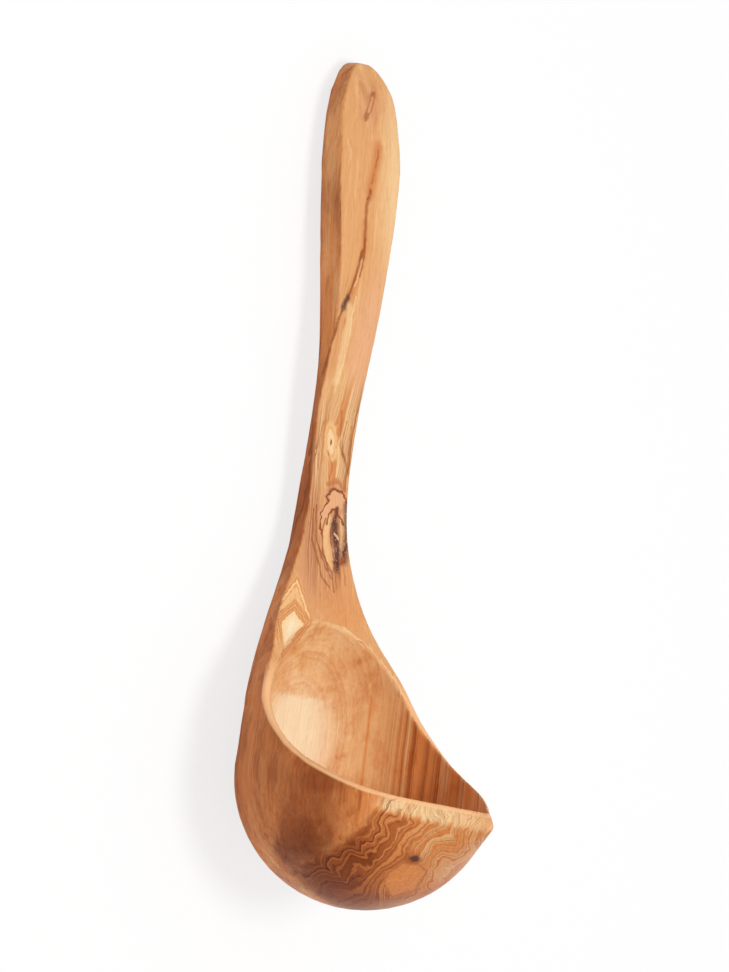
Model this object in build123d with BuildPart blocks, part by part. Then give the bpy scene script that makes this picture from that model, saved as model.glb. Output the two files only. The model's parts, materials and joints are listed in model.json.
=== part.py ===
from build123d import *
from math import asin, cos, copysign, pi, sin
import os

# A soup ladle carved from one billet of olive wood. It lies on its back, as it
# does on a table: the bowl and the heel of the handle touch the table, while
# the mouth and the flat front of the handle look up. X runs along the length
# with the bowl at +X, Y is across, and the two sides of Y = 0 are alike.

# Bowl. The lip is a blunt point that grows out of the round bowl.
bowl_radius = 46.5
bowl_wall = 3.3
hollow_reach = 69.0
lip_reach = 62.8
lip_advance = 13.0
lip_round = 3.2
lip_hollow_round = 1.4

# Handle. Every reach is measured from the middle of the bowl.
handle_reach = 253.0
end_length = 32.5
grip_width = 31.8
grip_front = 19.4
neck_reach = 106.0
neck_width = 20.6
arch_height = 8.0
blank_rise = 9.0
section_points = 24

# Edges and cuts
arris_round = 1.0
hollow_edge_round = 0.6
cut_overrun = 20.0
end_overrun = 2.5
end_front = 5.5

# Sizes that follow from the ones above
bowl_x = (handle_reach - bowl_radius) / 2
grip_reach = handle_reach - end_length
hollow_radius = bowl_radius - bowl_wall
neck_half = neck_width / 2
grip_half = grip_width / 2

# Shoulder, from the bowl to the neck. A row gives the reach as a share of the
# neck's reach and the spread from neck width (0) to bowl width (1). Then come
# the level of the widest line, the blank's rise above it and the height of
# the back, as shares of the bowl's radius, and how square the back is, where
# 2 is an ellipse.
shoulder_shares = (
    (0.12, 0.980, 0.950, 0.88, 0.028, 2.0),
    (0.23, 0.885, 0.780, 0.66, 0.050, 2.0),
    (0.34, 0.705, 0.590, 0.46, 0.060, 2.0),
    (0.47, 0.468, 0.448, 0.30, 0.062, 2.1),
    (0.62, 0.236, 0.360, 0.20, 0.066, 2.2),
    (0.79, 0.052, 0.328, 0.19, 0.072, 2.4),
)

# Handle, from the neck to the grip's widest place. A row gives the share of
# the way, the spread from neck width (0) to grip width (1), the front height
# as a share of the grip's, the height of the back as a share of the arch, and
# how square the back is.
handle_shares = (
    (0.000, 0.00, 0.742, 0.58, 2.5),
    (0.235, 0.14, 0.785, 0.99, 2.6),
    (0.472, 0.14, 0.970, 0.68, 2.8),
    (0.702, 0.56, 0.985, 0.36, 3.0),
    (0.879, 0.93, 0.920, 0.18, 3.0),
    (1.000, 1.00, 0.850, 0.06, 3.0),
)

# Blunt end past the grip's widest place. A row gives the share of its length,
# then shares of the grip's width, of its front height and of the arch, and
# how square the back is.
end_shares = (
    (0.47, 0.912, 0.706, 0.02, 3.0),
    (0.73, 0.730, 0.620, 0.02, 3.2),
    (0.88, 0.520, 0.520, 0.04, 3.4),
    (0.97, 0.320, 0.440, 0.10, 3.4),
    (1.00, 0.180, 0.400, 0.18, 3.0),
)

# Crest of the rim in side view, as shares of the bowl's radius: the reach and
# the height, from the shoulder to above the lip.
rim_shares = (
    (0.516, 0.695),
    (0.344, 0.839),
    (0.194, 1.022),
    (0.078, 1.226),
    (-0.017, 1.445),
    (-0.092, 1.634),
    (-0.135, 1.828),
    (-0.160, 2.043),
    (-0.185, 2.323),
    (-0.210, 2.600),
)


def stations():
    """Reach, half width, widest level, rise, back height, squareness."""
    rows = []
    for reach, spread, level, rise, back, square in shoulder_shares:
        half = neck_half + spread * (bowl_radius - neck_half)
        rows.append((reach * neck_reach, half, level * bowl_radius,
                     rise * bowl_radius, back * bowl_radius, square))
    for along, spread, front, back, square in handle_shares:
        half = neck_half + spread * (grip_half - neck_half)
        rows.append((neck_reach + along * (grip_reach - neck_reach), half,
                     front * grip_front, blank_rise, back * arch_height, square))
    for along, width, front, back, square in end_shares:
        rows.append((grip_reach + along * end_length, width * grip_half,
                     front * grip_front, blank_rise, back * arch_height, square))
    return rows


def section(half, level, rise, drop, square):
    """Points round one closed section from its top: elliptical, then squarer below."""
    points = []
    for step in range(section_points):
        angle = pi / 2 + 2 * pi * step / section_points
        above = sin(angle) >= 0
        power = 1 if above else 2 / square
        height = rise if above else drop
        across = half * copysign(abs(cos(angle)) ** power, cos(angle))
        up = height * copysign(abs(sin(angle)) ** power, sin(angle))
        points.append((across, level + up))
    return points


def lip_section(ball, point_round, reach):
    """Half outline of a ball drawn out to a rounded point, in the lip's plane."""
    middle = reach - point_round
    lean = asin((ball - point_round) / middle)
    with BuildSketch(lip_plane) as drop:
        with BuildLine():
            round_back = ThreePointArc(
                (-ball, 0), (-ball * sin(pi / 4), ball * cos(pi / 4)),
                (ball * sin(lean), ball * cos(lean)))
            flank = Line(round_back @ 1,
                         (middle + point_round * sin(lean), point_round * cos(lean)))
            tip = RadiusArc(flank @ 1, (reach, 0), point_round)
            Line(tip @ 1, round_back @ 0)
        make_face()
    return drop


def front_line():
    """Side view of the handle's front and the rim, from past the end to the lip."""
    points = [(handle_reach + end_overrun, end_front)]
    for along, width, front, back, square in reversed(end_shares):
        points.append((grip_reach + along * end_length, front * grip_front))
    for along, spread, front, back, square in reversed(handle_shares):
        points.append((neck_reach + along * (grip_reach - neck_reach), front * grip_front))
    for reach, spread, level, rise, back, square in reversed(shoulder_shares[2:]):
        points.append((reach * neck_reach, level * bowl_radius))
    for reach, height in rim_shares:
        points.append((reach * bowl_radius, height * bowl_radius))
    return [(bowl_x - reach, height) for reach, height in points]


bowl_centre = (bowl_x, 0, bowl_radius)
hollow_centre = (bowl_x, bowl_radius)
cut_top = rim_shares[-1][1] * bowl_radius + cut_overrun
lip_direction = (lip_advance, 0, (lip_reach**2 - lip_advance**2) ** 0.5)
lip_plane = Plane(origin=bowl_centre, x_dir=lip_direction, z_dir=(0, -1, 0))
lip_axis = Axis(bowl_centre, lip_direction)
length_axis = Axis(bowl_centre, (1, 0, 0))

with BuildPart() as ladle:
    # far half of the bowl with its lip
    drop = lip_section(bowl_radius, lip_round, lip_reach)
    revolve(drop.sketch, axis=lip_axis)
    split(bisect_by=Plane.YZ.offset(bowl_x), keep=Keep.TOP)

    # near half of the bowl, shoulder and handle
    with BuildSketch(Plane.YZ.offset(bowl_x)):
        with Locations(Location((0, bowl_radius, 0), (0, 0, 90))):
            Circle(bowl_radius)
    for reach, half, level, rise, back, square in stations():
        with BuildSketch(Plane.YZ.offset(bowl_x - reach)):
            with BuildLine():
                Spline(*section(half, level, rise, level - back, square), periodic=True)
            make_face()
    loft()

    # front of the handle and crest of the rim, cut along one line in side view
    with BuildSketch(Plane.XZ.offset(-bowl_radius - cut_overrun)):
        with BuildLine():
            crest = Spline(*front_line())
            Polyline(crest @ 1, (crest.position_at(1).X, cut_top),
                     (crest.position_at(0).X, cut_top), crest @ 0)
        make_face()
    extrude(amount=2 * (bowl_radius + cut_overrun), mode=Mode.SUBTRACT)

    # hollow: round under the lip, drawn out toward the handle
    with BuildSketch(Plane.XZ):
        with BuildLine():
            floor = CenterArc(hollow_centre, hollow_radius, 0, 90)
            scoop = EllipticalCenterArc(hollow_centre, hollow_reach, hollow_radius,
                                        start_angle=90, arc_size=90)
            Line(scoop @ 1, floor @ 0)
        make_face()
    revolve(axis=length_axis, mode=Mode.SUBTRACT)
    drop = lip_section(hollow_radius, lip_hollow_round, lip_reach - bowl_wall)
    revolve(drop.sketch, axis=lip_axis, mode=Mode.SUBTRACT)

    # eased edges, along the hollow first and then round the rim and the handle
    front = ladle.faces().filter_by(GeomType.EXTRUSION).sort_by(SortBy.AREA)[-1]
    fillet(front.inner_wires()[0].edges(), hollow_edge_round)
    front = ladle.faces().filter_by(GeomType.EXTRUSION).sort_by(SortBy.AREA)[-1]
    fillet(front.outer_wire().edges(), arris_round)

ladle.part.label = "ladle"
os.makedirs("parts", exist_ok=True)
export_step(ladle.part, "parts/ladle.step")
print("volume", round(ladle.part.volume), "valid", ladle.part.is_valid)
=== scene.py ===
import bpy
import json
from math import radians
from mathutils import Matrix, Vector

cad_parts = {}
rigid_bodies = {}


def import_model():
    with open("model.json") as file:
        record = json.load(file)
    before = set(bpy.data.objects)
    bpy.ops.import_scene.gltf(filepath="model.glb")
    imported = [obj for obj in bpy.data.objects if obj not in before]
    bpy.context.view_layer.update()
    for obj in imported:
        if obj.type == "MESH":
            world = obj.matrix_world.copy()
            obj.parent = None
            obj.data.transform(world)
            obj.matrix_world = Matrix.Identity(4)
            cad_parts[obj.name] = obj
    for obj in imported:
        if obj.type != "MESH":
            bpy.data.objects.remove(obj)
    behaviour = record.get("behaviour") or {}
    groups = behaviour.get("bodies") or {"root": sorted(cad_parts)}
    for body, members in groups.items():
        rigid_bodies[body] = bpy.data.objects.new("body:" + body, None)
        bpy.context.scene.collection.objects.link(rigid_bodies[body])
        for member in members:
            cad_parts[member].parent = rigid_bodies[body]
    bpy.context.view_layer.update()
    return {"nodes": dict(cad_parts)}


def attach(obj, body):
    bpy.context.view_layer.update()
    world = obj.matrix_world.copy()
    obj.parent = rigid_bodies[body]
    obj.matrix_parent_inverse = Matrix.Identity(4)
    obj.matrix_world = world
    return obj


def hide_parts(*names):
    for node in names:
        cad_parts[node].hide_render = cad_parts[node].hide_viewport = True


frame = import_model()
scene = bpy.context.scene
print("frame loaded")


def deselectAll():
    bpy.ops.object.select_all(action="DESELECT")


# camera: looks across the ladle from its near side, rolled so that the handle stands up
cameraSetup = {
    "location": (0.2717, -3.7332, 3.3682),
    "turn": (-4.051, -48.148, 99.591),
    "lens": 526.1,
}
bpy.ops.object.camera_add(
    location=cameraSetup["location"],
    rotation=[radians(a) for a in cameraSetup["turn"]],
)
camera = bpy.context.active_object
camera.name = "photoCamera"
camera.data.lens = cameraSetup["lens"]
camera.data.clip_end = 30
scene.camera = camera
print("camera placed")


# the ladle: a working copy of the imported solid, with a tapered rim and a carver's unevenness
ladleForm = {
    "voxel": 0.0009,        # mesh size of the remesh, metres
    "bowlRadius": 0.0465,
    "bowlMiddle": Vector((0.10325, 0, 0.0465)),
    "lipAxis": Vector((0.013, 0, 0.06144)).normalized(),
    "lipReach": 0.0628,
    "lipRound": 0.0032,
    "hollowRadius": 0.0432,
    "hollowReach": 0.069,
    "hollowTip": 0.0014,
    "wall": 0.0033,
    "taper": 0.0022,        # how much the wall thins at the crest
    "taperDepth": 0.0070,   # how far below the crest the thinning starts
    "taperCurve": 1.6,
    "taperAbove": 0.028,    # height under which nothing is thinned
    "taperFrom": 0.078,     # x before which nothing is thinned
    "taperFade": (0.080, 0.100),
    "carving": 0.00025,     # deepest hollow left by the knife
    "carvingSize": 0.028,
}
# where one face of the wood ends and the next begins, metres
faceEdges = {
    "hollow": (0.0002, 0.0012),     # distance outside the hollow's skin
    "hollowStart": (0.034, 0.036),  # x
    "frontEnd": (0.070, 0.082),     # x
    "frontHeight": (0.005, 0.007),
    # share of the surface turned up toward the key light; the front's paler colour there is partly
    # sanded wood and partly painted light
    "facingUpToLight": (0.35, 0.75),       # share of the surface's direction
    "rimStart": 0.060,              # x
    "belowRim": 0.020,              # furthest distance that is kept
}
# side view of the rim's crest, x and z in metres, from the shoulder to the lip
rimLine = [
    (0.0672, 0.0274), (0.0792, 0.0323), (0.0872, 0.0390), (0.0942, 0.0475),
    (0.0996, 0.0570), (0.1040, 0.0672), (0.1075, 0.0760), (0.1095, 0.0850),
    (0.1107, 0.0950), (0.1119, 0.1080),
]


def smoothStep(low, high, value):
    share = min(max((value - low) / (high - low), 0), 1)
    return share * share * (3 - 2 * share)


def distanceToLine(x, z, line):
    best = 1.0
    for (ax, az), (bx, bz) in zip(line, line[1:]):
        dx, dz = bx - ax, bz - az
        share = ((x - ax) * dx + (z - az) * dz) / (dx * dx + dz * dz)
        share = min(max(share, 0), 1)
        away = ((x - ax - share * dx) ** 2 + (z - az - share * dz) ** 2) ** 0.5
        best = min(best, away)
    return best


# distance outside a ball that is drawn out to a rounded point, as the bowl and its lip are
def ballAndLip(point, ball, tip, reach):
    length = reach - tip
    lean = (ball - tip) / length
    fall = (1 - lean * lean) ** 0.5
    offset = point - ladleForm["bowlMiddle"]
    along = offset.dot(ladleForm["lipAxis"])
    across = max(offset.length_squared - along * along, 0) ** 0.5
    start = fall * along - lean * across
    if start < 0:
        return offset.length - ball
    if start > fall * length:
        return (across * across + (along - length) ** 2) ** 0.5 - tip
    return fall * across + lean * along - ball


def bowlSkin(point):
    return ballAndLip(point, ladleForm["bowlRadius"], ladleForm["lipRound"], ladleForm["lipReach"])


# distance outside the hollow, which is longer toward the handle
def hollowSkin(point):
    form = ladleForm
    offset = point - form["bowlMiddle"]
    if offset.x < 0:
        radius, length = form["hollowRadius"], form["hollowReach"]
        size = (offset.x * radius / length, offset.y, offset.z)
        oval = Vector(size).length
        if oval < 1e-6:
            return -radius
        slope = Vector((size[0] * radius / length, size[1], size[2])).length / oval
        return (oval - radius) / slope
    return ballAndLip(point, form["hollowRadius"], form["hollowTip"],
                      form["lipReach"] - form["wall"])


def skinNormal(point):
    step = 0.00002
    here = bowlSkin(point)
    slope = Vector([bowlSkin(point + Vector(d) * step) - here
                    for d in ((1, 0, 0), (0, 1, 0), (0, 0, 1))])
    return slope.normalized()


deselectAll()
node = frame["nodes"]["ladle"]
node.select_set(True)
bpy.context.view_layer.objects.active = node
bpy.ops.object.duplicate()
ladle = bpy.context.active_object
ladle.name = "carvedLadle"
bpy.ops.object.parent_clear(type="CLEAR_KEEP_TRANSFORM")
bpy.ops.object.mode_set(mode="EDIT")
bpy.ops.mesh.select_all(action="SELECT")
bpy.ops.mesh.remove_doubles(threshold=0.000002)
bpy.ops.object.mode_set(mode="OBJECT")

remesh = ladle.modifiers.new("evenMesh", "REMESH")
remesh.mode = "VOXEL"
remesh.voxel_size = ladleForm["voxel"]
bpy.ops.object.modifier_apply(modifier=remesh.name)
for factor, rounds in ((0.5, 3), (0.3, 1)):
    sanding = ladle.modifiers.new("sanding", "SMOOTH")
    sanding.factor = factor
    sanding.iterations = rounds
    bpy.ops.object.modifier_apply(modifier=sanding.name)
    if rounds > 1:      # back onto the true skin
        skin = ladle.modifiers.new("trueSkin", "SHRINKWRAP")
        skin.target = node
        bpy.ops.object.modifier_apply(modifier=skin.name)

# the rim is thinned from outside, so it ends in a fine edge along the hollow
for v in ladle.data.vertices:
    if v.co.x < ladleForm["taperFrom"] or v.co.z < ladleForm["taperAbove"]:
        continue
    below = distanceToLine(v.co.x, v.co.z, rimLine)
    if below < ladleForm["taperDepth"]:
        thin = (1 - below / ladleForm["taperDepth"]) ** ladleForm["taperCurve"]
        thin = ladleForm["taper"] * thin
        thin *= smoothStep(*ladleForm["taperFade"], v.co.x)
        thin *= smoothStep(0, ladleForm["wall"], hollowSkin(v.co))
        v.co -= skinNormal(v.co) * thin

knifeMarks = bpy.data.textures.new("knifeMarks", "CLOUDS")
knifeMarks.noise_scale = ladleForm["carvingSize"]
knifeMarks.noise_depth = 1
carving = ladle.modifiers.new("carving", "DISPLACE")
carving.texture = knifeMarks
carving.texture_coords = "LOCAL"
carving.mid_level = 1
carving.strength = ladleForm["carving"]
bpy.ops.object.modifier_apply(modifier=carving.name)
bpy.ops.object.shade_smooth()

# which face of the wood a point belongs to, and how far it lies below the rim, for the colours
faces = {name: ladle.data.attributes.new(name, "FLOAT", "POINT")
         for name in ("front", "inside", "below")}
for v in ladle.data.vertices:
    x, z = v.co.x, v.co.z
    inside = 1 - smoothStep(*faceEdges["hollow"], hollowSkin(v.co))
    inside *= smoothStep(*faceEdges["hollowStart"], x)
    # surfaces turned up to the light count as front: paler ground colour, partly the wood's own and
    # partly painted light, with painted shade on the sides
    front = smoothStep(*faceEdges["facingUpToLight"], v.normal.z)
    front *= (1 - smoothStep(*faceEdges["frontEnd"], x)) * (1 - inside)
    front *= smoothStep(*faceEdges["frontHeight"], z)
    below = faceEdges["belowRim"]
    if x > faceEdges["rimStart"]:
        below = min(below, distanceToLine(x, z, rimLine))
    faces["front"].data[v.index].value = front
    faces["inside"].data[v.index].value = inside
    faces["below"].data[v.index].value = 1000 * below       # millimetres
print("ladle carved,", len(ladle.data.polygons), "faces")


# small helpers for the wood's node tree
def feed(tree, value, socket):
    if isinstance(value, bpy.types.NodeSocket):
        tree.links.new(value, socket)
    else:
        socket.default_value = value


def maths(tree, operation, *values):
    step = tree.nodes.new("ShaderNodeMath")
    step.operation = operation
    for socket, value in zip(step.inputs, values):
        feed(tree, value, socket)
    return step.outputs[0]


def times(tree, first, second):
    return maths(tree, "MULTIPLY", first, second)


def vectorMaths(tree, operation, *values):
    step = tree.nodes.new("ShaderNodeVectorMath")
    step.operation = operation
    for socket, value in zip(step.inputs, values):
        feed(tree, value, socket)
    return step.outputs["Value" if operation in ("LENGTH", "DOT_PRODUCT") else "Vector"]


def scaled(tree, vector, sizes):
    return vectorMaths(tree, "MULTIPLY", vector, sizes)


def ramp(tree, value, low, high, start=0.0, end=1.0):
    step = tree.nodes.new("ShaderNodeMapRange")
    step.interpolation_type = "SMOOTHSTEP"
    for socket, number in zip(step.inputs, (value, low, high, start, end)):
        feed(tree, number, socket)
    return step.outputs["Result"]


def mixColour(tree, amount, first, second, blend="MIX"):
    step = tree.nodes.new("ShaderNodeMix")
    step.data_type = "RGBA"
    step.blend_type = blend
    for name, value in (("Factor_Float", amount), ("A_Color", first), ("B_Color", second)):
        socket = next(s for s in step.inputs if s.identifier == name)
        if name != "Factor_Float" and not isinstance(value, bpy.types.NodeSocket):
            value = (*value, 1)
        feed(tree, value, socket)
    return next(s for s in step.outputs if s.identifier == "Result_Color")


# colours by name, each at its value
def colourRamp(tree, value, tones):
    low, high = tones[0][0], tones[-1][0]
    value = maths(tree, "MULTIPLY_ADD", value, 1 / (high - low), -low / (high - low))
    step = tree.nodes.new("ShaderNodeValToRGB")
    points = step.color_ramp.elements
    while len(points) < len(tones):
        points.new(0.5)
    for point, (position, name) in zip(points, tones):
        point.position = (position - low) / (high - low)
        point.color = (*woodColours[name], 1)
    tree.links.new(value, step.inputs["Fac"])
    return step.outputs["Color"]


def noise(tree, vector, scale, detail, output="Fac", roughness=0.5):
    step = tree.nodes.new("ShaderNodeTexNoise")
    step.inputs["Scale"].default_value = scale
    step.inputs["Detail"].default_value = detail
    step.inputs["Roughness"].default_value = roughness
    tree.links.new(vector, step.inputs["Vector"])
    return step.outputs[output]


# moves a place about by one or more noises, so that edges and lines come out ragged
def ragged(tree, place, *noises):
    moved = place
    for scale, detail, reach in noises:
        cloud = noise(tree, place, scale, detail, "Color")
        apart = tree.nodes.new("ShaderNodeSeparateColor")
        tree.links.new(cloud, apart.inputs[0])
        shift = tree.nodes.new("ShaderNodeCombineXYZ")
        for first, second in zip(apart.outputs, shift.inputs):
            tree.links.new(first, second)
        shift = vectorMaths(tree, "SUBTRACT", shift.outputs[0], (0.5, 0.5, 0.5))
        moved = vectorMaths(tree, "ADD", moved, scaled(tree, shift, reach))
    return moved


def newGroup(name, sockets):
    group = bpy.data.node_groups.new(name, "ShaderNodeTree")
    for label, side, kind in sockets:
        group.interface.new_socket(name=label, in_out=side, socket_type="NodeSocket" + kind)
    return group, group.nodes.new("NodeGroupInput"), group.nodes.new("NodeGroupOutput")


def useGroup(tree, group, **values):
    step = tree.nodes.new("ShaderNodeGroup")
    step.node_tree = group
    for name, value in values.items():
        feed(tree, value, step.inputs[name])
    return step.outputs[0] if len(step.outputs) == 1 else step.outputs


# a soft-edged patch, egg-shaped
patchGroup, start, end = newGroup("woodPatch", [
    ("Place", "INPUT", "Vector"), ("Centre", "INPUT", "Vector"), ("Size", "INPUT", "Vector"),
    ("Outer", "INPUT", "Float"), ("Inner", "INPUT", "Float"), ("Amount", "OUTPUT", "Float")])
offset = vectorMaths(patchGroup, "SUBTRACT", start.outputs["Place"], start.outputs["Centre"])
offset = vectorMaths(patchGroup, "DIVIDE", offset, start.outputs["Size"])
reach = vectorMaths(patchGroup, "LENGTH", offset)
amount = ramp(patchGroup, reach, start.outputs["Outer"], start.outputs["Inner"])
feed(patchGroup, amount, end.inputs[0])


def patch(tree, place, centre, size, soft):
    return useGroup(tree, patchGroup, Place=place, Centre=centre, Size=size,
                    Outer=1 + soft, Inner=1 - soft)


# a straight stroke between two points, as a streak or a crack has
strokeGroup, start, end = newGroup("woodStroke", [
    ("Place", "INPUT", "Vector"), ("From", "INPUT", "Vector"), ("Course", "INPUT", "Vector"),
    ("Share", "INPUT", "Vector"), ("Outer", "INPUT", "Float"), ("Inner", "INPUT", "Float"),
    ("Amount", "OUTPUT", "Float")])
offset = vectorMaths(strokeGroup, "SUBTRACT", start.outputs["Place"], start.outputs["From"])
share = vectorMaths(strokeGroup, "DOT_PRODUCT", offset, start.outputs["Share"])
share = maths(strokeGroup, "MINIMUM", maths(strokeGroup, "MAXIMUM", share, 0.0), 1.0)
nearest = vectorMaths(strokeGroup, "SCALE", start.outputs["Course"])
feed(strokeGroup, share, nearest.node.inputs["Scale"])
reach = vectorMaths(strokeGroup, "LENGTH", vectorMaths(strokeGroup, "SUBTRACT", offset, nearest))
amount = ramp(strokeGroup, reach, start.outputs["Outer"], start.outputs["Inner"])
feed(strokeGroup, amount, end.inputs[0])


def stroke(tree, place, points, width, soft):
    mark = None
    for first, second in zip(points, points[1:]):
        course = Vector(second) - Vector(first)
        part = useGroup(tree, strokeGroup, Place=place, From=first, Course=course,
                        Share=course / course.length_squared,
                        Outer=width * (1 + soft), Inner=width * (1 - soft))
        mark = part if mark is None else maths(tree, "MAXIMUM", mark, part)
    return mark


# growth rings of uneven width: a slow change of tone, and a line that darkens toward its edge
ringGroup, start, end = newGroup("woodRings", [
    ("Depth", "INPUT", "Float"), ("Width", "INPUT", "Float"), ("Sharp", "INPUT", "Float"),
    ("Tone", "OUTPUT", "Float"), ("Line", "OUTPUT", "Float")])
count = maths(ringGroup, "DIVIDE", start.outputs["Depth"], start.outputs["Width"])
uneven = ringGroup.nodes.new("ShaderNodeTexNoise")
uneven.noise_dimensions = "1D"
uneven.inputs["Scale"].default_value = 0.7
uneven.inputs["Detail"].default_value = 1
ringGroup.links.new(count, uneven.inputs["W"])
count = maths(ringGroup, "ADD", count, times(ringGroup, uneven.outputs["Fac"], 2.2))
share = maths(ringGroup, "FRACT", count)
year = maths(ringGroup, "FLOOR", count)
season = ringGroup.nodes.new("ShaderNodeTexWhiteNoise")
season.noise_dimensions = "1D"
ringGroup.links.new(year, season.inputs["W"])
late = maths(ringGroup, "POWER", share, start.outputs["Sharp"])
late = times(ringGroup, late, ramp(ringGroup, share, 1.0, 0.95))
strength = ramp(ringGroup, season.outputs["Value"], 0.0, 1.0, 0.35, 1.0)
feed(ringGroup, times(ringGroup, late, strength), end.inputs["Line"])
slow = ringGroup.nodes.new("ShaderNodeTexNoise")
slow.noise_dimensions = "1D"
slow.inputs["Scale"].default_value = 0.55
slow.inputs["Detail"].default_value = 2
ringGroup.links.new(count, slow.inputs["W"])
feed(ringGroup, ramp(ringGroup, slow.outputs["Fac"], 0.30, 0.70), end.inputs["Tone"])


# olive wood. All places and sizes are in millimetres.
woodColours = {
    "gold": (0.77, 0.385, 0.155), "paleGold": (0.85, 0.50, 0.225), "straw": (0.92, 0.63, 0.33),
    "cream": (0.93, 0.76, 0.50), "rose": (0.80, 0.42, 0.215), "clay": (0.66, 0.30, 0.145),
    "orange": (0.74, 0.265, 0.075), "honey": (0.64, 0.225, 0.066), "chestnut": (0.47, 0.135, 0.032),
    "russet": (0.34, 0.085, 0.020), "umber": (0.215, 0.042, 0.006), "bark": (0.100, 0.032, 0.026),
    # rim crest: pale wood brightened with a painted highlight
    "crest": (0.95, 0.53, 0.26),
}
# what each kind of mark multiplies the colour by
woodTints = {
    "line": (0.34, 0.155, 0.10), "arc": (0.62, 0.40, 0.30), "smear": (0.66, 0.54, 0.46),
    "cloud": (0.86, 0.62, 0.46), "fibre": (0.66, 0.44, 0.34), "pore": (0.54, 0.30, 0.22),
}
# ground colours of the three faces, by the value of a noise; the outside's darker, more saturated
# tones are partly the wood's own and partly painted shade
groundTones = {
    "outside": [(0.25, "chestnut"), (0.36, "chestnut"), (0.43, "orange"), (0.52, "orange"),
                (0.59, "gold"), (0.66, "orange"), (0.75, "honey")],
    "front": [(0.25, "orange"), (0.36, "gold"), (0.56, "gold"), (0.66, "paleGold"),
              (0.75, "gold")],
    "inside": [(0.3, "honey"), (0.36, "gold"), (0.46, "paleGold"), (0.58, "straw"),
               (0.7, "straw")],
}
# a stretch is a noise's scale along and across the grain; a range goes from one value of the
# noise to another, then from one strength to another
woodGrain = {
    "fibreStretch": (0.055, 1.25, 1.25),
    "bandStretch": (0.012, 0.30, 0.30),
    "smearStretch": (0.045, 0.13, 0.13),
    "cloudStretch": (0.10, 0.17, 0.17),
    "poreStretch": (0.28, 3.4, 3.4),
    "fleckStretch": (1.0, 1.8, 1.8),
    "mottleScale": 0.12,
    "smears": (0.44, 0.62, 0.0, 0.70),
    "clouds": (0.52, 0.34, 0.0, 0.55),
    "fibres": (0.42, 0.72, 0.0, 0.50),
    "pores": (0.60, 0.72),
    "poreStrength": 0.38,
    "flecks": (0.60, 0.66),
    "loose": (0.35, 3, (3.0, 1.3, 1.3)),    # how far edges stray: scale, detail, reach
    "clouded": (0.13, 4, (9, 9, 9)),
    "roughness": (0.40, 0.56),              # smooth wood, open fibres
    "shine": 0.15,
    "bump": 0.35,
    "relief": 0.00022,                      # metres
}
# The figure of the near side is laid out on a board held against it:
# across and down, from the middle of the bowl.
figureBoard = {
    "across": (-0.111, 0.658, 0.745),
    "down": (0.992, 0.114, 0.047),
    "through": (0.054, -0.744, 0.666),
}
# patches of colour: face, centre, size, softness, colour, strength
tonePatches = [
    ("front", (-110, 15, 17), (36, 8, 20), 0.8, "straw", 0.75),
    ("front", (-135, 0, 13), (7, 5, 9), 0.9, "clay", 0.7),
    ("front", (-50, 7, 17), (26, 8, 20), 0.5, "rose", 0.9),
    ("front", (-16, 0, 15), (22, 12, 12), 0.4, "paleGold", 0.75),
    ("front", (12, -9, 15), (24, 5, 12), 0.6, "clay", 0.6),
    ("front", (32, -2, 16), (18, 15, 12), 0.6, "clay", 0.5),
    ("front", (44, 10, 17), (10, 12, 12), 0.7, "orange", 0.35),
    ("inside", (62, 20, 17), (15, 13, 16), 0.6, "honey", 0.35),
    ("inside", (78, 28, 20), (12, 7, 8), 0.7, "honey", 0.35),
    ("outside", (4, -11, 8), (46, 6, 16), 0.5, "chestnut", 0.85),
    ("outside", (48, -22, 12), (26, 12, 12), 0.6, "chestnut", 0.45),
    ("outside", (90, -46, 36), (44, 24, 44), 0.4, "chestnut", 0.60),
    ("outside", (104, -46, 62), (22, 14, 16), 0.5, "russet", 0.4),
    ("outside", (113, -39, 70), (6, 8, 5), 0.6, "russet", 0.35),
    ("outside", (121, -42, 55), (8, 7, 9), 0.4, "russet", 0.6),
    ("outside", (127, -38, 58), (7, 8, 9), 0.8, "umber", 0.80),
    ("outside", (119, -36, 70), (8, 7, 8), 0.6, "honey", 0.6),
    ("outside", (-112, -15, 12), (38, 8, 12), 0.7, "gold", 0.4),
    ("outside", (-93, -15, 12), (8, 8, 12), 0.8, "chestnut", 0.3),
    ("outside", (106, -42, 64), (5, 6, 9), 0.5, "russet", 0.5),
    ("outside", (133, -34, 50), (10, 9, 12), 0.4, "umber", 0.75),
    ("outside", (137, -29, 48), (4, 6, 4), 0.5, "clay", 0.5),
    ("outside", (148, 6, 62), (7, 10, 8), 0.5, "clay", 0.7),
]
# patches over the wild figure
latePatches = [
    ("outside", (128, 8, 94), (22, 22, 24), 0.3, "orange", 0.35),
    ("outside", (143, -22, 51), (7, 9, 8), 0.5, "umber", 0.55),
    ("outside", (148, -6, 54), (10, 18, 10), 0.5, "umber", 0.6),
    ("outside", (147, 6, 62), (7, 12, 8), 0.5, "clay", 0.5),
]
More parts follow.
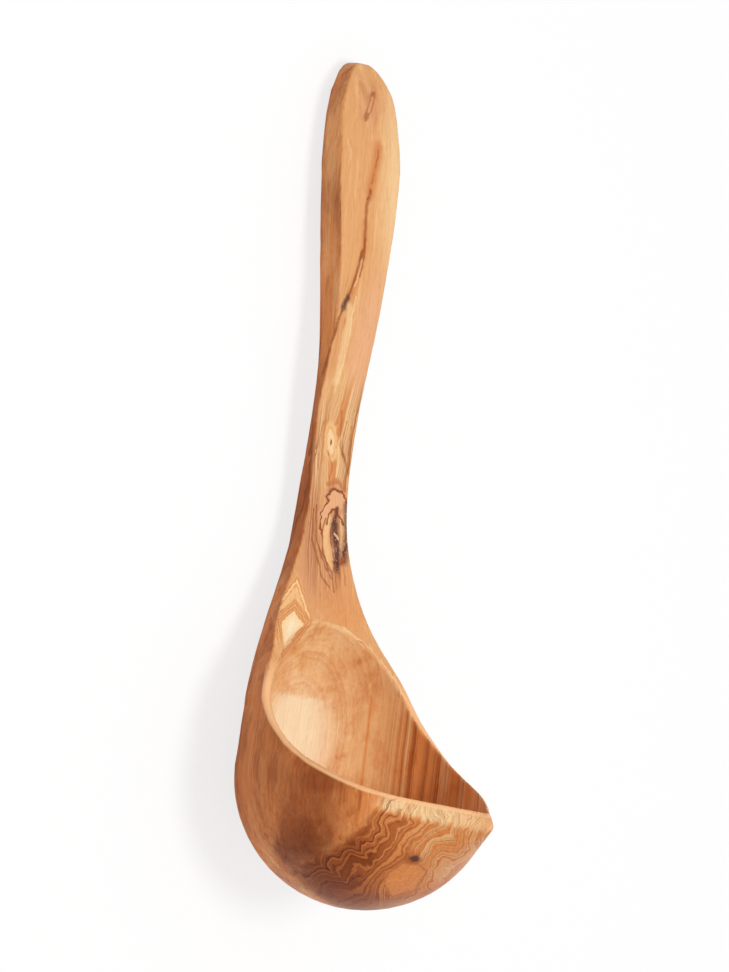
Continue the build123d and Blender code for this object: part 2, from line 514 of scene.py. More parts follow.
# streaks and cracks: points, width, softness, colour, strength
woodStreaks = [
    ([(-141.5, -4.5, 11.8), (-138, -2.5, 12.6), (-136, 0.6, 13)], 1.7, 0.9, "chestnut", 0.35),
    ([(-142, 2.5, 11.8), (-138.5, 3.2, 12.6)], 1.3, 0.9, "chestnut", 0.3),
    ([(-139.4, 1.9, 12.5), (-135.2, 0.3, 13.1), (-130.2, -2.4, 14)], 1.25, 0.5, "russet", 0.7),
    ([(-137.6, 1.2, 12.8), (-135.2, 0.2, 13.1), (-132.4, -1.1, 13.7)], 0.70, 0.6, "gold", 0.85),
    ([(-120.5, 3.9, 16.1), (-117.7, 3.2, 16.4), (-110.3, 1.5, 17.2), (-104, 0.2, 17.8)],
     2.1, 0.9, "honey", 0.85),
    ([(-119.5, 3.7, 16.2), (-113, 2.1, 17), (-107.5, 0.9, 17.5)], 0.45, 0.8, "russet", 0.55),
    ([(-92, -1.4, 18.4), (-85, -1.0, 19), (-76, -2.4, 19.3), (-68, -5.4, 19.3)],
     1.7, 0.9, "honey", 0.6),
    ([(-104.8, 0.4, 17.7), (-99, -1.2, 18), (-92, -1.2, 18.4), (-85, -1.2, 19),
      (-80.2, -2.3, 19.2)], 0.75, 0.8, "russet", 0.75),
    ([(-104.8, 0.4, 17.7), (-102, -0.4, 17.9), (-101, -1.4, 18)], 0.35, 0.6, "umber", 0.8),
    ([(-87, -0.9, 18.8), (-80.2, -1.2, 19.2), (-73.8, -2.4, 19.4)], 0.5, 0.7, "russet", 0.8),
    ([(-83, -2.4, 19.1), (-77.4, -3.4, 19.3), (-71, -5.2, 19.4), (-66, -7.0, 19.3)],
     0.6, 0.7, "russet", 0.85),
    ([(-80, -1.9, 19.2), (-75, -2.8, 19.3), (-70, -4.5, 19.4)], 0.36, 0.9, "straw", 0.6),
    ([(-60.5, -9.4, 19), (-58.6, -9.8, 19), (-47.5, -11, 16.4), (-38, -11.2, 14.4)],
     0.65, 0.7, "russet", 0.85),
    ([(-62, -5.4, 19.2), (-52, -4.6, 18.2), (-36, -4.6, 15.9)], 1.5, 0.8, "straw", 0.6),
    ([(-66, -3.0, 19.3), (-59, -3.6, 19), (-50, -2.8, 18), (-42, -3.2, 16.8), (-32, -4.8, 15.6)],
     0.40, 0.8, "straw", 0.8),
    ([(-58, -7.2, 18.9), (-50, -6.4, 18)], 0.35, 0.8, "chestnut", 0.5),
    ([(-65.4, -7.4, 19.2), (-62, -8.8, 19.1)], 1.3, 0.7, "bark", 0.9),
    ([(50.1, 8.6, 19.6), (53.6, 18.2, 20.9), (59.7, 26.5, 23.8), (66.1, 32.2, 26.9),
      (72.7, 35.8, 29.4)], 0.35, 0.8, "straw", 0.7),
    ([(53.4, 16.6, 20.9), (59.2, 25.1, 23.8), (65.5, 30.6, 26.9), (72.0, 34.3, 29.4)],
     0.35, 0.8, "chestnut", 0.5),
]
# the small knot above the facet: centre, size, softness, colour, strength
lipKnot = [
    ((130.5, -12.8, 84.0), (2.6, 3.4, 3.0), 0.6, "russet", 0.7),
    ((130.3, -12.6, 84.4), (1.5, 1.7, 1.6), 0.5, "bark", 0.9),
]
# where knots show on the neck: centre, size, softness
knotPlace = ((6, 2, 17), (40, 12, 9), 0.1)
# the two knots: centre and size on the board, then colours from the middle out
woodKnots = {
    "slimEye": {
        "centre": (-12.4, -118.4), "size": (1.8, 5.6), "rough": 1.1, "edge": 1.5,
        "tones": [(0.0, "umber"), (0.15, "umber"), (0.25, "straw"), (0.75, "straw"),
                  (0.92, "gold"), (1.02, "paleGold"), (1.2, "paleGold"), (1.5, "gold")],
    },
    "barkEye": {
        "centre": (-10.9, -88.8), "size": (5.0, 14.0), "rough": 2.1, "edge": 1.25,
        "tones": [(0.0, "clay"), (0.40, "clay"), (0.55, "rose"), (0.88, "rose"), (0.93, "umber"),
                  (0.97, "umber"), (1.02, "clay"), (1.15, "rose"), (1.4, "rose")],
    },
}
# the barked knot's cracks and the lines round it, as the streaks above
barkMarks = [
    ([(8.6, 4.6, 14.8), (14.4, 3.6, 15)], 1.0, 0.7, "bark", 0.9),
    ([(13, 0.5, 14.8), (18, -0.6, 15.1), (24, 0.4, 15.5), (29, 3.0, 16)],
     1.5, 0.35, "paleGold", 0.95),
    ([(12, 7.4, 14.7), (17, 8.6, 15), (22, 8.8, 15.4)], 1.0, 0.35, "paleGold", 0.95),
    ([(12.4, -1.1, 14.8), (18, -2.3, 15.1), (24.5, -1.4, 15.5), (30, 1.6, 16),
      (31.5, 3.8, 16.2)], 0.36, 0.7, "russet", 0.85),
    ([(15.5, 2.0, 15), (20, 2.6, 15.2), (26, 4.2, 15.7)], 0.32, 0.7, "russet", 0.8),
    ([(14.6, -0.4, 14.9), (11.2, 0.4, 14.8), (9.3, 2.6, 14.8), (9.0, 3.9, 14.8),
      (11.3, 6.0, 14.8), (13.8, 8.6, 14.8)], 0.48, 0.7, "umber", 0.9),
    ([(14.4, 3.9, 15), (18, 4.6, 15.2), (23, 6.2, 15.4), (29.6, 6.4, 16)],
     1.9, 0.7, "bark", 0.95),
    ([(7, 9.6, 14.5), (16, 10.6, 15), (26, 10.4, 15.8)], 1.7, 0.9, "bark", 0.8),
    ([(17.5, 4.2, 15.2), (19, 6.4, 15.2)], 0.35, 0.6, "straw", 0.8),
    ([(10, -7.7, 14.6), (14.9, -7.5, 14.8), (21.2, -7.1, 15.2), (27.3, -3.7, 15.8),
      (33.5, -1.3, 16.4), (36.6, 2.9, 16.8)], 0.42, 0.8, "russet", 0.75),
    ([(8.4, -6.4, 14.6), (19.6, -5.2, 15.2), (28.4, -0.9, 15.9), (33.6, 4, 16.4)],
     0.36, 0.8, "russet", 0.8),
    ([(22.3, -3.8, 15.3), (27.6, 0, 15.8), (31.1, 4.2, 16.2), (38, 5.4, 16.8)],
     0.36, 0.8, "russet", 0.75),
    ([(26.7, 8.3, 15.8), (32.5, 8.1, 16.2)], 0.5, 0.8, "chestnut", 0.7),
    ([(26, 9.3, 15.8), (34.9, 11.6, 16.6)], 0.5, 0.9, "chestnut", 0.6),
    ([(28.4, 5.4, 16), (36.2, 6.7, 16.8)], 0.5, 0.9, "chestnut", 0.65),
    ([(-25.9, 1.1, 15.1), (-14, 2.8, 14.5), (-8.7, 6.1, 14.4)], 0.5, 0.9, "chestnut", 0.75),
    ([(-22.8, 4.7, 14.9), (-16, 3.7, 14.6), (-12.1, 4.6, 14.4), (-4, 9.0, 14.4)],
     0.42, 0.9, "russet", 0.7),
    ([(-21, 7.6, 14.8), (-11, 7.9, 14.4)], 0.5, 0.9, "chestnut", 0.7),
    ([(-21.4, -7.3, 14.9), (-14.1, -8.6, 14.5), (-4.3, -7.4, 14.4)], 0.5, 0.9, "chestnut", 0.6),
    ([(-23.8, -5.4, 15), (-15.8, -6.9, 14.6), (-7.4, -5.6, 14.4)], 0.4, 0.9, "honey", 0.8),
    ([(-11.3, -3.2, 14.4), (-6.5, -0.2, 14.4), (-1.5, -0.8, 14.4)], 0.35, 0.9, "chestnut", 0.8),
    ([(0.7, -1.4, 14.4), (-1.2, 2.6, 14.4), (1.2, 7.5, 14.4)], 0.9, 0.9, "chestnut", 0.7),
]
# angular places, as corners on the board
paleDiamond = {
    "corners": [(-25.4, -59.3), (-21.8, -54.3), (-28.9, -44.5), (-29.9, -55.5)],
    "rough": 0.75,
    "patch": ((48, -17, 19), (19, 14, 9), 0.15),
    "cut": ((0.784, 0.620, 0), -48.75),     # across the board, where the hollow begins
    "edge": (3.1, 2.4),
    "layers": [(-3, "cream"), (-0.4, "straw"), (0.0, "honey"), (0.3, "gold"), (0.9, "honey"),
               (1.3, "paleGold"), (1.6, "honey"), (2.1, "gold"), (2.5, "honey"), (2.8, "gold"),
               (3.2, "gold")],
}
paleCap = {
    "corners": [(-24.1, -71.0), (-19.0, -55.6), (-28.9, -41.8), (-34.0, -58.0)],
    "edge": (0.9, 0.2),
    "layers": [(-6, "gold"), (-2.6, "paleGold"), (-1.6, "paleGold"), (-1.2, "orange"),
               (-0.9, "straw"), (-0.35, "paleGold"), (-0.1, "honey"), (0.3, "gold"),
               (1.0, "rose")],
}
paleFacet = {
    "corners": [(7.7, 32.3), (13.7, 28.3), (18.2, 29.1), (21.4, 32.0), (17.2, 38.6), (9.2, 41.0),
                (6.3, 36.6)],
    "rough": 1.1,
    "patch": ((138, -8, 76), (14, 16, 16), 0.1),
    "edge": (0.9, 0.1, 0.0, 0.8),
    "pushes": (8.0, -2.0),      # the rings give way to it
    "push": 4.0,
    "layers": [(-5, "orange"), (-1.0, "orange"), (-0.4, "honey"), (0.0, "chestnut"),
               (0.4, "honey"), (0.8, "orange"), (1.3, "orange")],
}
# the wild figure under the lip: rings round a place near the bowl's near side, folded by noise
wildFigure = {
    "middle": (-34.0, -14.0),
    "ringWidth": 1.2,
    "sharp": 2.6,
    "flatten": (1, 1, 0.4),
    "begins": (42.0, 46.5),
    "patch": ((126, -20, 80), (36, 34, 38), 0.25),
    "folds": 22.0,
    "ripples": 2.6,
    "foldStretch": (4.0, 0.05),     # round the middle, away from it
    "ragged": (0.45, 2, (1.6, 1.6, 0)),
    "strength": 0.95,
    "tones": [(0.0, "umber"), (0.15, "russet"), (0.38, "chestnut"), (0.58, "honey"),
              (0.74, "orange"), (0.90, "gold"), (1.08, "paleGold"), (1.25, "straw")],
    "level": 0.52,
    "lineStrength": 1.0,
    "rimBand": (8.0, 4.5, 0.0, 0.74),
    # lighter and darker parts: centre, size, softness, how much lighter
    "parts": [((126, 6, 97), (22, 26, 21), 0.25, 0.30), ((120, -16, 88), (8, 10, 10), 0.5, 0.08),
              ((134, -31, 57), (16, 15, 22), 0.5, -0.42),
              ((146, -8, 58), (10, 24, 12), 0.5, -0.26)],
}
# the pale bottom of the bowl, partly pale wood and partly a painted highlight, and the rings round
# it
palePlace = {
    "centre": (90, 4, 4),
    "size": (22, 15, 14),
    "soft": 0.45,
    "start": (74.5, 77.0, 0.25, 1.0),
    "depth": 15.0,
    "ringWidth": 2.4,
    "sharp": 1.6,
    "arcs": 0.35,
    "lines": 0.42,
}
# stripes of the bowl's far wall, by their height on a slope of 49 degrees
wallStripes = {
    "slope": (0, 0.662, 0.749),
    "tones": [(30, "paleGold"), (32.3, "paleGold"), (33.3, "orange"), (34.3, "paleGold"),
              (40, "gold"), (43.8, "gold"), (44.6, "orange"), (45.2, "gold"), (46.2, "orange"),
              (46.8, "chestnut"), (47.3, "gold"), (48.0, "paleGold"), (48.9, "orange"),
              (50.0, "chestnut"), (51.0, "orange"), (53.5, "orange"), (55.4, "chestnut"),
              (56.8, "orange"), (58.4, "honey"), (60.0, "orange"), (61.2, "gold"),
              (62.4, "rose"), (65.0, "orange"), (67.0, "honey"), (69.0, "rose"), (71, "orange"),
              (75, "rose"), (80, "gold")],
    "stretch": (0.25, 1, 1),
    "waves": (0.10, 2, (0, 2.2, 2.2)),
    "begins": (29.0, 33.0),
    "along": (66.0, 80.0),
    "strength": 0.9,
    "ringWidth": 1.4,
    "sharp": 1.6,
    "lines": (34.0, 52.0, 0.10, 0.80),
}
# lines of the neck and the handle
handleLines = {
    "stretch": (0.35, 1, 1),
    "flow": (0.15, 3, (0, 5.0, 5.0)),
    "across": (0, 1.0, -0.35),
    "ringWidth": 1.7,
    "sharp": 1.4,
    # where the lines part round a knot: centre, size, how far
    "swells": [((-14, -2, 15), (9, 3.4, 8), 4.0), ((17, 4, 15), (17, 6.4, 10), 5.0),
               ((-63, -8, 19), (9, 3, 8), 2.5), ((-135, 0, 13), (8, 2.6, 8), 2.0),
               ((52, -19, 20), (12, 7, 12), 5.0)],
    # where they are dark: centre, size, strength
    "figured": [((-12, 2, 15), (26, 14, 12), 0.95), ((14, 0, 15), (26, 13, 12), 0.95),
                ((-55, -7, 18), (22, 6, 12), 0.35)],
    "plain": 0.10,
    "neck": ((-14, 2, 15), (20, 14, 9), 0.3, 0.8),
    "neckTones": [(0.0, "orange"), (0.3, "gold"), (0.55, "paleGold"), (1.0, "straw")],
}
# pale crest of the rim, partly the wood's own tone and partly a painted highlight on the rounded
# edge
rimCrestPaleAndHighlight = {
    "width": (2.1, 1.2),
    "along": (63.0, 76.0, 0.0, 0.85),
}


def polygonDistance(tree, board, corners):
    middle = sum((Vector(c) for c in corners), Vector((0, 0))) / len(corners)
    furthest = None
    for first, second in zip(corners, corners[1:] + corners[:1]):
        side = Vector((second[1] - first[1], first[0] - second[0])).normalized()
        if side.dot(Vector(first) - middle) < 0:
            side.negate()
        away = vectorMaths(tree, "DOT_PRODUCT", board, (side.x, side.y, 0))
        away = maths(tree, "SUBTRACT", away, side.dot(Vector(first)))
        furthest = away if furthest is None else maths(tree, "MAXIMUM", furthest, away)
    return furthest


# the places that colours are laid out by, and the faces of the wood from the carved mesh
def findPlaces(tree):
    place = tree.nodes.new("ShaderNodeTexCoord").outputs["Object"]
    place = vectorMaths(tree, "SCALE", place)
    place.node.inputs["Scale"].default_value = 1000.0       # millimetres from here on
    loose = ragged(tree, place, woodGrain["loose"])

    fromBowl = vectorMaths(tree, "SUBTRACT", place, [c * 1000 for c in ladleForm["bowlMiddle"]])
    ways = [vectorMaths(tree, "DOT_PRODUCT", fromBowl, way) for way in figureBoard.values()]
    board = tree.nodes.new("ShaderNodeCombineXYZ")
    for socket, way in zip(board.inputs, ways):
        tree.links.new(way, socket)
    board = scaled(tree, board.outputs[0], (1, 1, 0.15))

    at = {"place": place, "loose": loose, "board": board}
    for name in ("front", "inside", "below"):
        reader = tree.nodes.new("ShaderNodeAttribute")
        reader.attribute_name = name
        at[name] = reader.outputs["Fac"]
    at["outside"] = maths(tree, "SUBTRACT", 1.0, maths(tree, "MAXIMUM", at["front"], at["inside"]))
    return at


def addPatches(tree, at, colour, patches, outsidePlace):
    for face, centre, size, soft, name, strength in patches:
        where = outsidePlace if face == "outside" else at["loose"]
        amount = times(tree, patch(tree, where, centre, size, soft), strength)
        colour = mixColour(tree, times(tree, amount, at[face]), colour, woodColours[name])
    return colour


# ground colour with long bands along the grain, patches and smears; the sides are darker than the
# up-facing front, partly the wood's own tone and partly painted shade
def layGround(tree, at):
    band = scaled(tree, at["place"], woodGrain["bandStretch"])
    band = noise(tree, band, 1.0, 4, roughness=0.6)
    flankWoodAndShadeTone = colourRamp(tree, band, groundTones["outside"])
    frontWoodAndLightTone = colourRamp(tree, band, groundTones["front"])
    colour = mixColour(tree, at["front"], flankWoodAndShadeTone, frontWoodAndLightTone)
    mottle = noise(tree, at["place"], woodGrain["mottleScale"], 4, roughness=0.65)
    insideTone = colourRamp(tree, mottle, groundTones["inside"])
    colour = mixColour(tree, at["inside"], colour, insideTone)
    clouded = ragged(tree, at["place"], woodGrain["clouded"])
    colour = addPatches(tree, at, colour, tonePatches, clouded)

    smear = noise(tree, scaled(tree, at["place"], woodGrain["smearStretch"]), 1.0, 3)
    smear = times(tree, ramp(tree, smear, *woodGrain["smears"]), at["outside"])
    return mixColour(tree, smear, colour, woodTints["smear"], "MULTIPLY")


# arcs of the growth rings round the bottom of the bowl, and the pale place in it, partly pale wood
# and partly a painted highlight, which starts sharply toward the handle
def layBottom(tree, at, colour):
    arcs = vectorMaths(tree, "SUBTRACT", at["loose"], palePlace["centre"])
    arcs = vectorMaths(tree, "DIVIDE", arcs, palePlace["size"])
    depth = times(tree, vectorMaths(tree, "LENGTH", arcs), palePlace["depth"])
    rings = useGroup(tree, ringGroup, Depth=depth, Width=palePlace["ringWidth"],
                     Sharp=palePlace["sharp"])
    arcTone = mixColour(tree, rings["Tone"], woodColours["gold"], woodColours["paleGold"])
    colour = mixColour(tree, times(tree, at["inside"], palePlace["arcs"]), colour, arcTone)
    lines = times(tree, rings["Line"], times(tree, at["inside"], palePlace["lines"]))
    colour = mixColour(tree, lines, colour, woodTints["arc"], "MULTIPLY")

    # painted highlight: the cream place on the bowl's floor is partly pale wood, partly light
    # falling there
    pale = patch(tree, at["loose"], palePlace["centre"], palePlace["size"], palePlace["soft"])
    apart = tree.nodes.new("ShaderNodeSeparateXYZ")
    tree.links.new(at["loose"], apart.inputs[0])
    at["along"] = apart.outputs["X"]
    pale = times(tree, pale, ramp(tree, at["along"], *palePlace["start"]))
    at["pale"] = times(tree, pale, at["inside"])
    return mixColour(tree, at["pale"], colour, woodColours["cream"])


# stripes of the far wall, and clouds of a warmer tone on all of the inside but the pale place
def layWall(tree, at, colour):
    wall = ragged(tree, scaled(tree, at["place"], wallStripes["stretch"]), wallStripes["waves"])
    height = vectorMaths(tree, "DOT_PRODUCT", wall, wallStripes["slope"])
    stripes = colourRamp(tree, height, wallStripes["tones"])
    striped = times(tree, ramp(tree, height, *wallStripes["begins"]), at["inside"])
    striped = times(tree, striped, ramp(tree, at["along"], *wallStripes["along"]))
    colour = mixColour(tree, times(tree, striped, wallStripes["strength"]), colour, stripes)

    cloud = scaled(tree, at["loose"], woodGrain["cloudStretch"])
    cloud = noise(tree, cloud, 1.0, 4, roughness=0.7)
    cloud = times(tree, ramp(tree, cloud, *woodGrain["clouds"]), at["inside"])
    cloud = times(tree, cloud, maths(tree, "SUBTRACT", 1.0, at["pale"]))
    colour = mixColour(tree, cloud, colour, woodTints["cloud"], "MULTIPLY")

    rings = useGroup(tree, ringGroup, Depth=height, Width=wallStripes["ringWidth"],
                     Sharp=wallStripes["sharp"])
    strength = times(tree, at["inside"], ramp(tree, height, *wallStripes["lines"]))
    return colour, times(tree, rings["Line"], strength)


# wild figure under the lip: folds run across the rings
def layWildFigure(tree, at, colour):
    figure = wildFigure
    middle = (*figure["middle"], 0)
    flatten = figure["flatten"]
    fromMiddle = vectorMaths(tree, "SUBTRACT", at["board"], middle)
    apart = tree.nodes.new("ShaderNodeSeparateXYZ")
    tree.links.new(fromMiddle, apart.inputs[0])
    turn = maths(tree, "ARCTAN2", apart.outputs["Y"], apart.outputs["X"])
    reach = vectorMaths(tree, "LENGTH", scaled(tree, fromMiddle, flatten))
    foldPlace = tree.nodes.new("ShaderNodeCombineXYZ")
    tree.links.new(times(tree, turn, figure["foldStretch"][0]), foldPlace.inputs["X"])
    tree.links.new(times(tree, reach, figure["foldStretch"][1]), foldPlace.inputs["Y"])
    fold = noise(tree, foldPlace.outputs[0], 1.0, 1)
    ripple = noise(tree, foldPlace.outputs[0], 4.0, 1)
    fold = maths(tree, "ABSOLUTE", maths(tree, "SUBTRACT", fold, 0.5))

    depth = ragged(tree, at["board"], figure["ragged"])
    depth = scaled(tree, vectorMaths(tree, "SUBTRACT", depth, middle), flatten)
    depth = vectorMaths(tree, "LENGTH", depth)
    depth = maths(tree, "MULTIPLY_ADD", fold, figure["folds"], depth)
    depth = maths(tree, "MULTIPLY_ADD", ripple, figure["ripples"], depth)
    rough = ragged(tree, at["board"], (0.5, 2, (paleFacet["rough"],) * 3))
    at["facet"] = polygonDistance(tree, rough, paleFacet["corners"])
    pushed = times(tree, ramp(tree, at["facet"], *paleFacet["pushes"]), paleFacet["push"])
    depth = maths(tree, "ADD", depth, pushed)
    rings = useGroup(tree, ringGroup, Depth=depth, Width=figure["ringWidth"], Sharp=figure["sharp"])

    centre, size, soft = figure["patch"]
    wild = times(tree, patch(tree, at["loose"], centre, size, soft), at["outside"])
    at["wild"] = times(tree, wild, ramp(tree, reach, *figure["begins"]))
    level = maths(tree, "MULTIPLY_ADD", rings["Tone"], 0.5, figure["level"] - 0.25)
    for centre, size, soft, lighter in figure["parts"]:
        part = patch(tree, at["loose"], centre, size, soft)
        level = maths(tree, "MULTIPLY_ADD", part, lighter, level)
    level = maths(tree, "ADD", level, ramp(tree, at["below"], *figure["rimBand"]))
    wildTone = colourRamp(tree, level, figure["tones"])
    colour = mixColour(tree, times(tree, at["wild"], figure["strength"]), colour, wildTone)
    colour = addPatches(tree, at, colour, latePatches, at["loose"])
    lines = times(tree, rings["Line"], times(tree, at["wild"], figure["lineStrength"]))
    return colour, lines


# lines of the neck and the handle, which flow round the knots
def layHandleLines(tree, at, colour):
    flow = handleLines["flow"]
    at["flow"] = ragged(tree, scaled(tree, at["place"], handleLines["stretch"]), flow)
    depth = vectorMaths(tree, "DOT_PRODUCT", at["flow"], handleLines["across"])
    for centre, size, lift in handleLines["swells"]:
        near = vectorMaths(tree, "SUBTRACT", at["loose"], centre)
        near = vectorMaths(tree, "DIVIDE", near, size)
        near = times(tree, vectorMaths(tree, "DOT_PRODUCT", near, near), -1.0)
        depth = maths(tree, "ADD", depth, times(tree, maths(tree, "EXPONENT", near), lift))
    rings = useGroup(tree, ringGroup, Depth=depth, Width=handleLines["ringWidth"],
                     Sharp=handleLines["sharp"])
    figured = handleLines["plain"]
    for centre, size, strength in handleLines["figured"]:
        part = times(tree, patch(tree, at["loose"], centre, size, 0.35), strength)
        figured = maths(tree, "MAXIMUM", figured, part)
    quiet = maths(tree, "SUBTRACT", 1.0, maths(tree, "MAXIMUM", at["inside"], at["wild"]))
    lines = times(tree, rings["Line"], times(tree, figured, quiet))

    neckTone = colourRamp(tree, rings["Tone"], handleLines["neckTones"])
    centre, size, soft, strength = handleLines["neck"]
    neck = times(tree, patch(tree, at["loose"], centre, size, soft), strength)
    neck = times(tree, neck, at["front"])
    return mixColour(tree, neck, colour, neckTone), lines


# angular pale places: the diamond and its cap beside the hollow, and the facet under the lip
def layPaleCorners(tree, at, colour):
    board = ragged(tree, at["board"], (0.6, 2, (paleDiamond["rough"] * 2,) * 3))
    diamond = polygonDistance(tree, board, paleDiamond["corners"])
    diamondTone = colourRamp(tree, diamond, paleDiamond["layers"])
    corner = patch(tree, at["place"], *paleDiamond["patch"])
    way, start = paleDiamond["cut"]
    beyond = maths(tree, "SUBTRACT", vectorMaths(tree, "DOT_PRODUCT", board, way), start)
    corner = times(tree, corner, ramp(tree, beyond, 0.3, -0.3))
    upper = maths(tree, "MAXIMUM", at["front"], at["inside"])
    corner = times(tree, corner, ramp(tree, upper, 0.0, 0.5, 0.15, 1.0))
    cap = polygonDistance(tree, board, paleCap["corners"])
    capTone = colourRamp(tree, cap, paleCap["layers"])
    amount = times(tree, corner, ramp(tree, cap, *paleCap["edge"]))
    colour = mixColour(tree, amount, colour, capTone)
    amount = times(tree, corner, ramp(tree, diamond, *paleDiamond["edge"]))
    colour = mixColour(tree, amount, colour, diamondTone)

    facetTone = colourRamp(tree, at["facet"], paleFacet["layers"])
    facet = patch(tree, at["place"], *paleFacet["patch"])
    facet = times(tree, facet, ramp(tree, at["facet"], *paleFacet["edge"]))
    return mixColour(tree, facet, colour, facetTone)


def layKnots(tree, at, colour):
    upper = times(tree, patch(tree, at["place"], *knotPlace), at["front"])
    for knot in woodKnots.values():
        rough = knot["rough"]
        ring = ragged(tree, at["board"], (0.22, 1, (rough * 2,) * 3), (0.8, 2, (rough * 0.6,) * 3))
        ring = vectorMaths(tree, "SUBTRACT", ring, (*knot["centre"], 0))
        ring = scaled(tree, ring, (1 / knot["size"][0], 1 / knot["size"][1], 0))
        ring = vectorMaths(tree, "LENGTH", ring)
        knotTone = colourRamp(tree, ring, knot["tones"])
        near = times(tree, upper, ramp(tree, ring, knot["edge"], knot["edge"] * 0.80))
        colour = mixColour(tree, times(tree, near, 0.92), colour, knotTone)
    return colour


# streaks, cracks and bark, and the small knot above the facet
def layMarks(tree, at, colour):
    cuts = 0.0
    fleck = noise(tree, scaled(tree, at["place"], woodGrain["fleckStretch"]), 1.0, 2)
    fleck = ramp(tree, fleck, *woodGrain["flecks"])
    for points, width, soft, name, strength in woodStreaks + barkMarks:
        mark = times(tree, stroke(tree, at["loose"], points, width, soft), strength)
        if name == "bark":      # flecks of wood break it up
            mark = times(tree, mark, maths(tree, "SUBTRACT", 1.0, times(tree, fleck, 0.7)))
        colour = mixColour(tree, mark, colour, woodColours[name])
        if name in ("bark", "umber", "russet"):
            cuts = maths(tree, "MAXIMUM", mark, cuts)
    for centre, size, soft, name, strength in lipKnot:
        spot = patch(tree, at["loose"], centre, size, soft)
        colour = mixColour(tree, times(tree, spot, strength), colour, woodColours[name])
    return colour, maths(tree, "MAXIMUM", cuts, spot)


# fibres and open pores along the grain, fainter on the front and in the hollow
def layFibres(tree, at, colour):
    fibre = scaled(tree, at["flow"], woodGrain["fibreStretch"])
    fibre = noise(tree, fibre, 1.0, 4, roughness=0.65)
    bare = maths(tree, "MULTIPLY_ADD", at["inside"], -0.6, 1.0)
    bare = maths(tree, "MULTIPLY_ADD", at["front"], -0.45, bare)
    amount = times(tree, ramp(tree, fibre, *woodGrain["fibres"]), bare)
    colour = mixColour(tree, amount, colour, woodTints["fibre"], "MULTIPLY")
    pore = noise(tree, scaled(tree, at["place"], woodGrain["poreStretch"]), 1.0, 2)
    pore = ramp(tree, pore, *woodGrain["pores"])
    amount = times(tree, times(tree, pore, woodGrain["poreStrength"]), bare)
    colour = mixColour(tree, amount, colour, woodTints["pore"], "MULTIPLY")
    return colour, fibre, pore


def buildOliveWood():
    wood = bpy.data.materials.new("oliveWood")
    wood.use_nodes = True
    tree = wood.node_tree
    shader = tree.nodes["Principled BSDF"]
    at = findPlaces(tree)
    colour = layGround(tree, at)
    colour = layBottom(tree, at, colour)
    colour, wallLines = layWall(tree, at, colour)
    colour, wildLines = layWildFigure(tree, at, colour)
    colour, flowLines = layHandleLines(tree, at, colour)
    lines = maths(tree, "MAXIMUM", maths(tree, "MAXIMUM", wallLines, wildLines), flowLines)
    colour = mixColour(tree, lines, colour, woodTints["line"], "MULTIPLY")
    colour = layPaleCorners(tree, at, colour)
    colour = layKnots(tree, at, colour)
    colour, cuts = layMarks(tree, at, colour)
    colour, fibre, pore = layFibres(tree, at, colour)

    # painted highlight along the rim's crest, over partly pale wood
    crest = ramp(tree, at["below"], *rimCrestPaleAndHighlight["width"])
    crest = times(tree, crest, maths(tree, "SUBTRACT", 1.0, at["inside"]))
    crest = times(tree, crest, ramp(tree, at["along"], *rimCrestPaleAndHighlight["along"]))
    colour = mixColour(tree, crest, colour, woodColours["crest"])
    tree.links.new(colour, shader.inputs["Base Color"])

    # sanded and oiled: fibres, lines and cracks lie a little lower and shine less
    relief = maths(tree, "ADD", times(tree, fibre, 0.6), times(tree, pore, 0.4))
    cuts = maths(tree, "ADD", times(tree, lines, 0.7), times(tree, cuts, 2.0))
    relief = maths(tree, "ADD", relief, cuts)
    bump = tree.nodes.new("ShaderNodeBump")
    bump.invert = True
    bump.inputs["Strength"].default_value = woodGrain["bump"]
    bump.inputs["Distance"].default_value = woodGrain["relief"]
    tree.links.new(relief, bump.inputs["Height"])
    tree.links.new(bump.outputs["Normal"], shader.inputs["Normal"])
    roughness = ramp(tree, relief, 0.2, 1.2, *woodGrain["roughness"])
    tree.links.new(roughness, shader.inputs["Roughness"])
    shader.inputs["Specular IOR Level"].default_value = woodGrain["shine"]
    return wood


ladle.data.materials.clear()
ladle.data.materials.append(buildOliveWood())
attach(ladle, "root")
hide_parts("ladle")
print("wood finished")


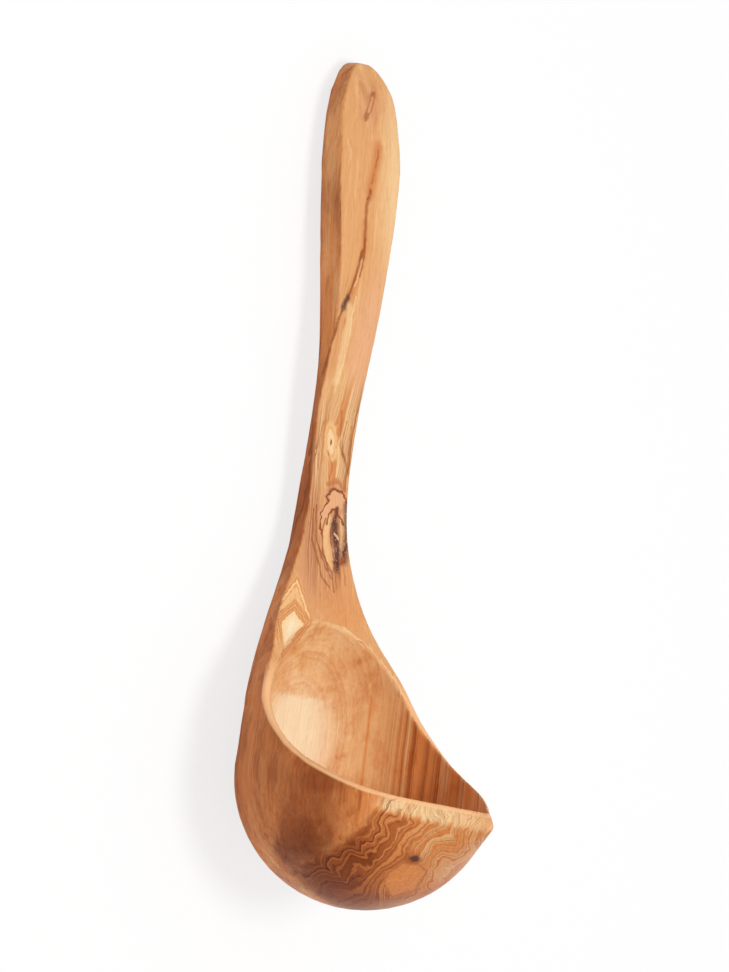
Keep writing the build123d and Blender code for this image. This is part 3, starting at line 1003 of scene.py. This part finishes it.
# plain white ground and soft light
stageSetup = {
    "ground": 8.0,
    "white": (0.92, 0.92, 0.92, 1),
    "shadowKept": 0.22,     # how much of the shadow the camera sees
    "air": 0.50,
}
keyLamp = {
    "location": (0.05, -0.1, 1.4),
    "aim": (0.0, 0, 0.03),
    "size": 0.5,
    "power": 12.1,
}
deselectAll()
bpy.ops.mesh.primitive_plane_add(size=stageSetup["ground"], location=(0, 0, -0.0002))
ground = bpy.context.active_object
ground.name = "ground"
paper = bpy.data.materials.new("whitePaper")
paper.use_nodes = True
tree = paper.node_tree
paperOut = tree.nodes["Material Output"]
matte = tree.nodes["Principled BSDF"]
matte.inputs["Base Color"].default_value = stageSetup["white"]
matte.inputs["Roughness"].default_value = 0.9
glow = tree.nodes.new("ShaderNodeEmission")
glow.inputs["Strength"].default_value = 1.0
blend = tree.nodes.new("ShaderNodeMixShader")
rays = tree.nodes.new("ShaderNodeLightPath")
plain = times(tree, rays.outputs["Is Camera Ray"], 1 - stageSetup["shadowKept"])
tree.links.new(plain, blend.inputs[0])
tree.links.new(matte.outputs[0], blend.inputs[1])
tree.links.new(glow.outputs[0], blend.inputs[2])
tree.links.new(blend.outputs[0], paperOut.inputs["Surface"])
ground.data.materials.append(paper)

studio = bpy.data.worlds.new("studio")
scene.world = studio
studio.use_nodes = True
tree = studio.node_tree
air = tree.nodes["Background"]
air.inputs["Color"].default_value = (1, 1, 1, 1)
rays = tree.nodes.new("ShaderNodeLightPath")
strength = ramp(tree, rays.outputs["Is Camera Ray"], 0.0, 1.0, stageSetup["air"], 1.0)
tree.links.new(strength, air.inputs["Strength"])


def addSoftbox(name, location, aim, size, power):
    bpy.ops.object.light_add(type="AREA", location=location)
    lamp = bpy.context.active_object
    lamp.name = name
    lamp.data.shape = "DISK"
    lamp.data.size = size
    lamp.data.energy = power
    lamp.visible_camera = False
    lamp.rotation_euler = (Vector(aim) - Vector(location)).to_track_quat("-Z", "Y").to_euler()


addSoftbox("keyLight", **keyLamp)
print("stage lit")

scene.view_settings.view_transform = "Standard"
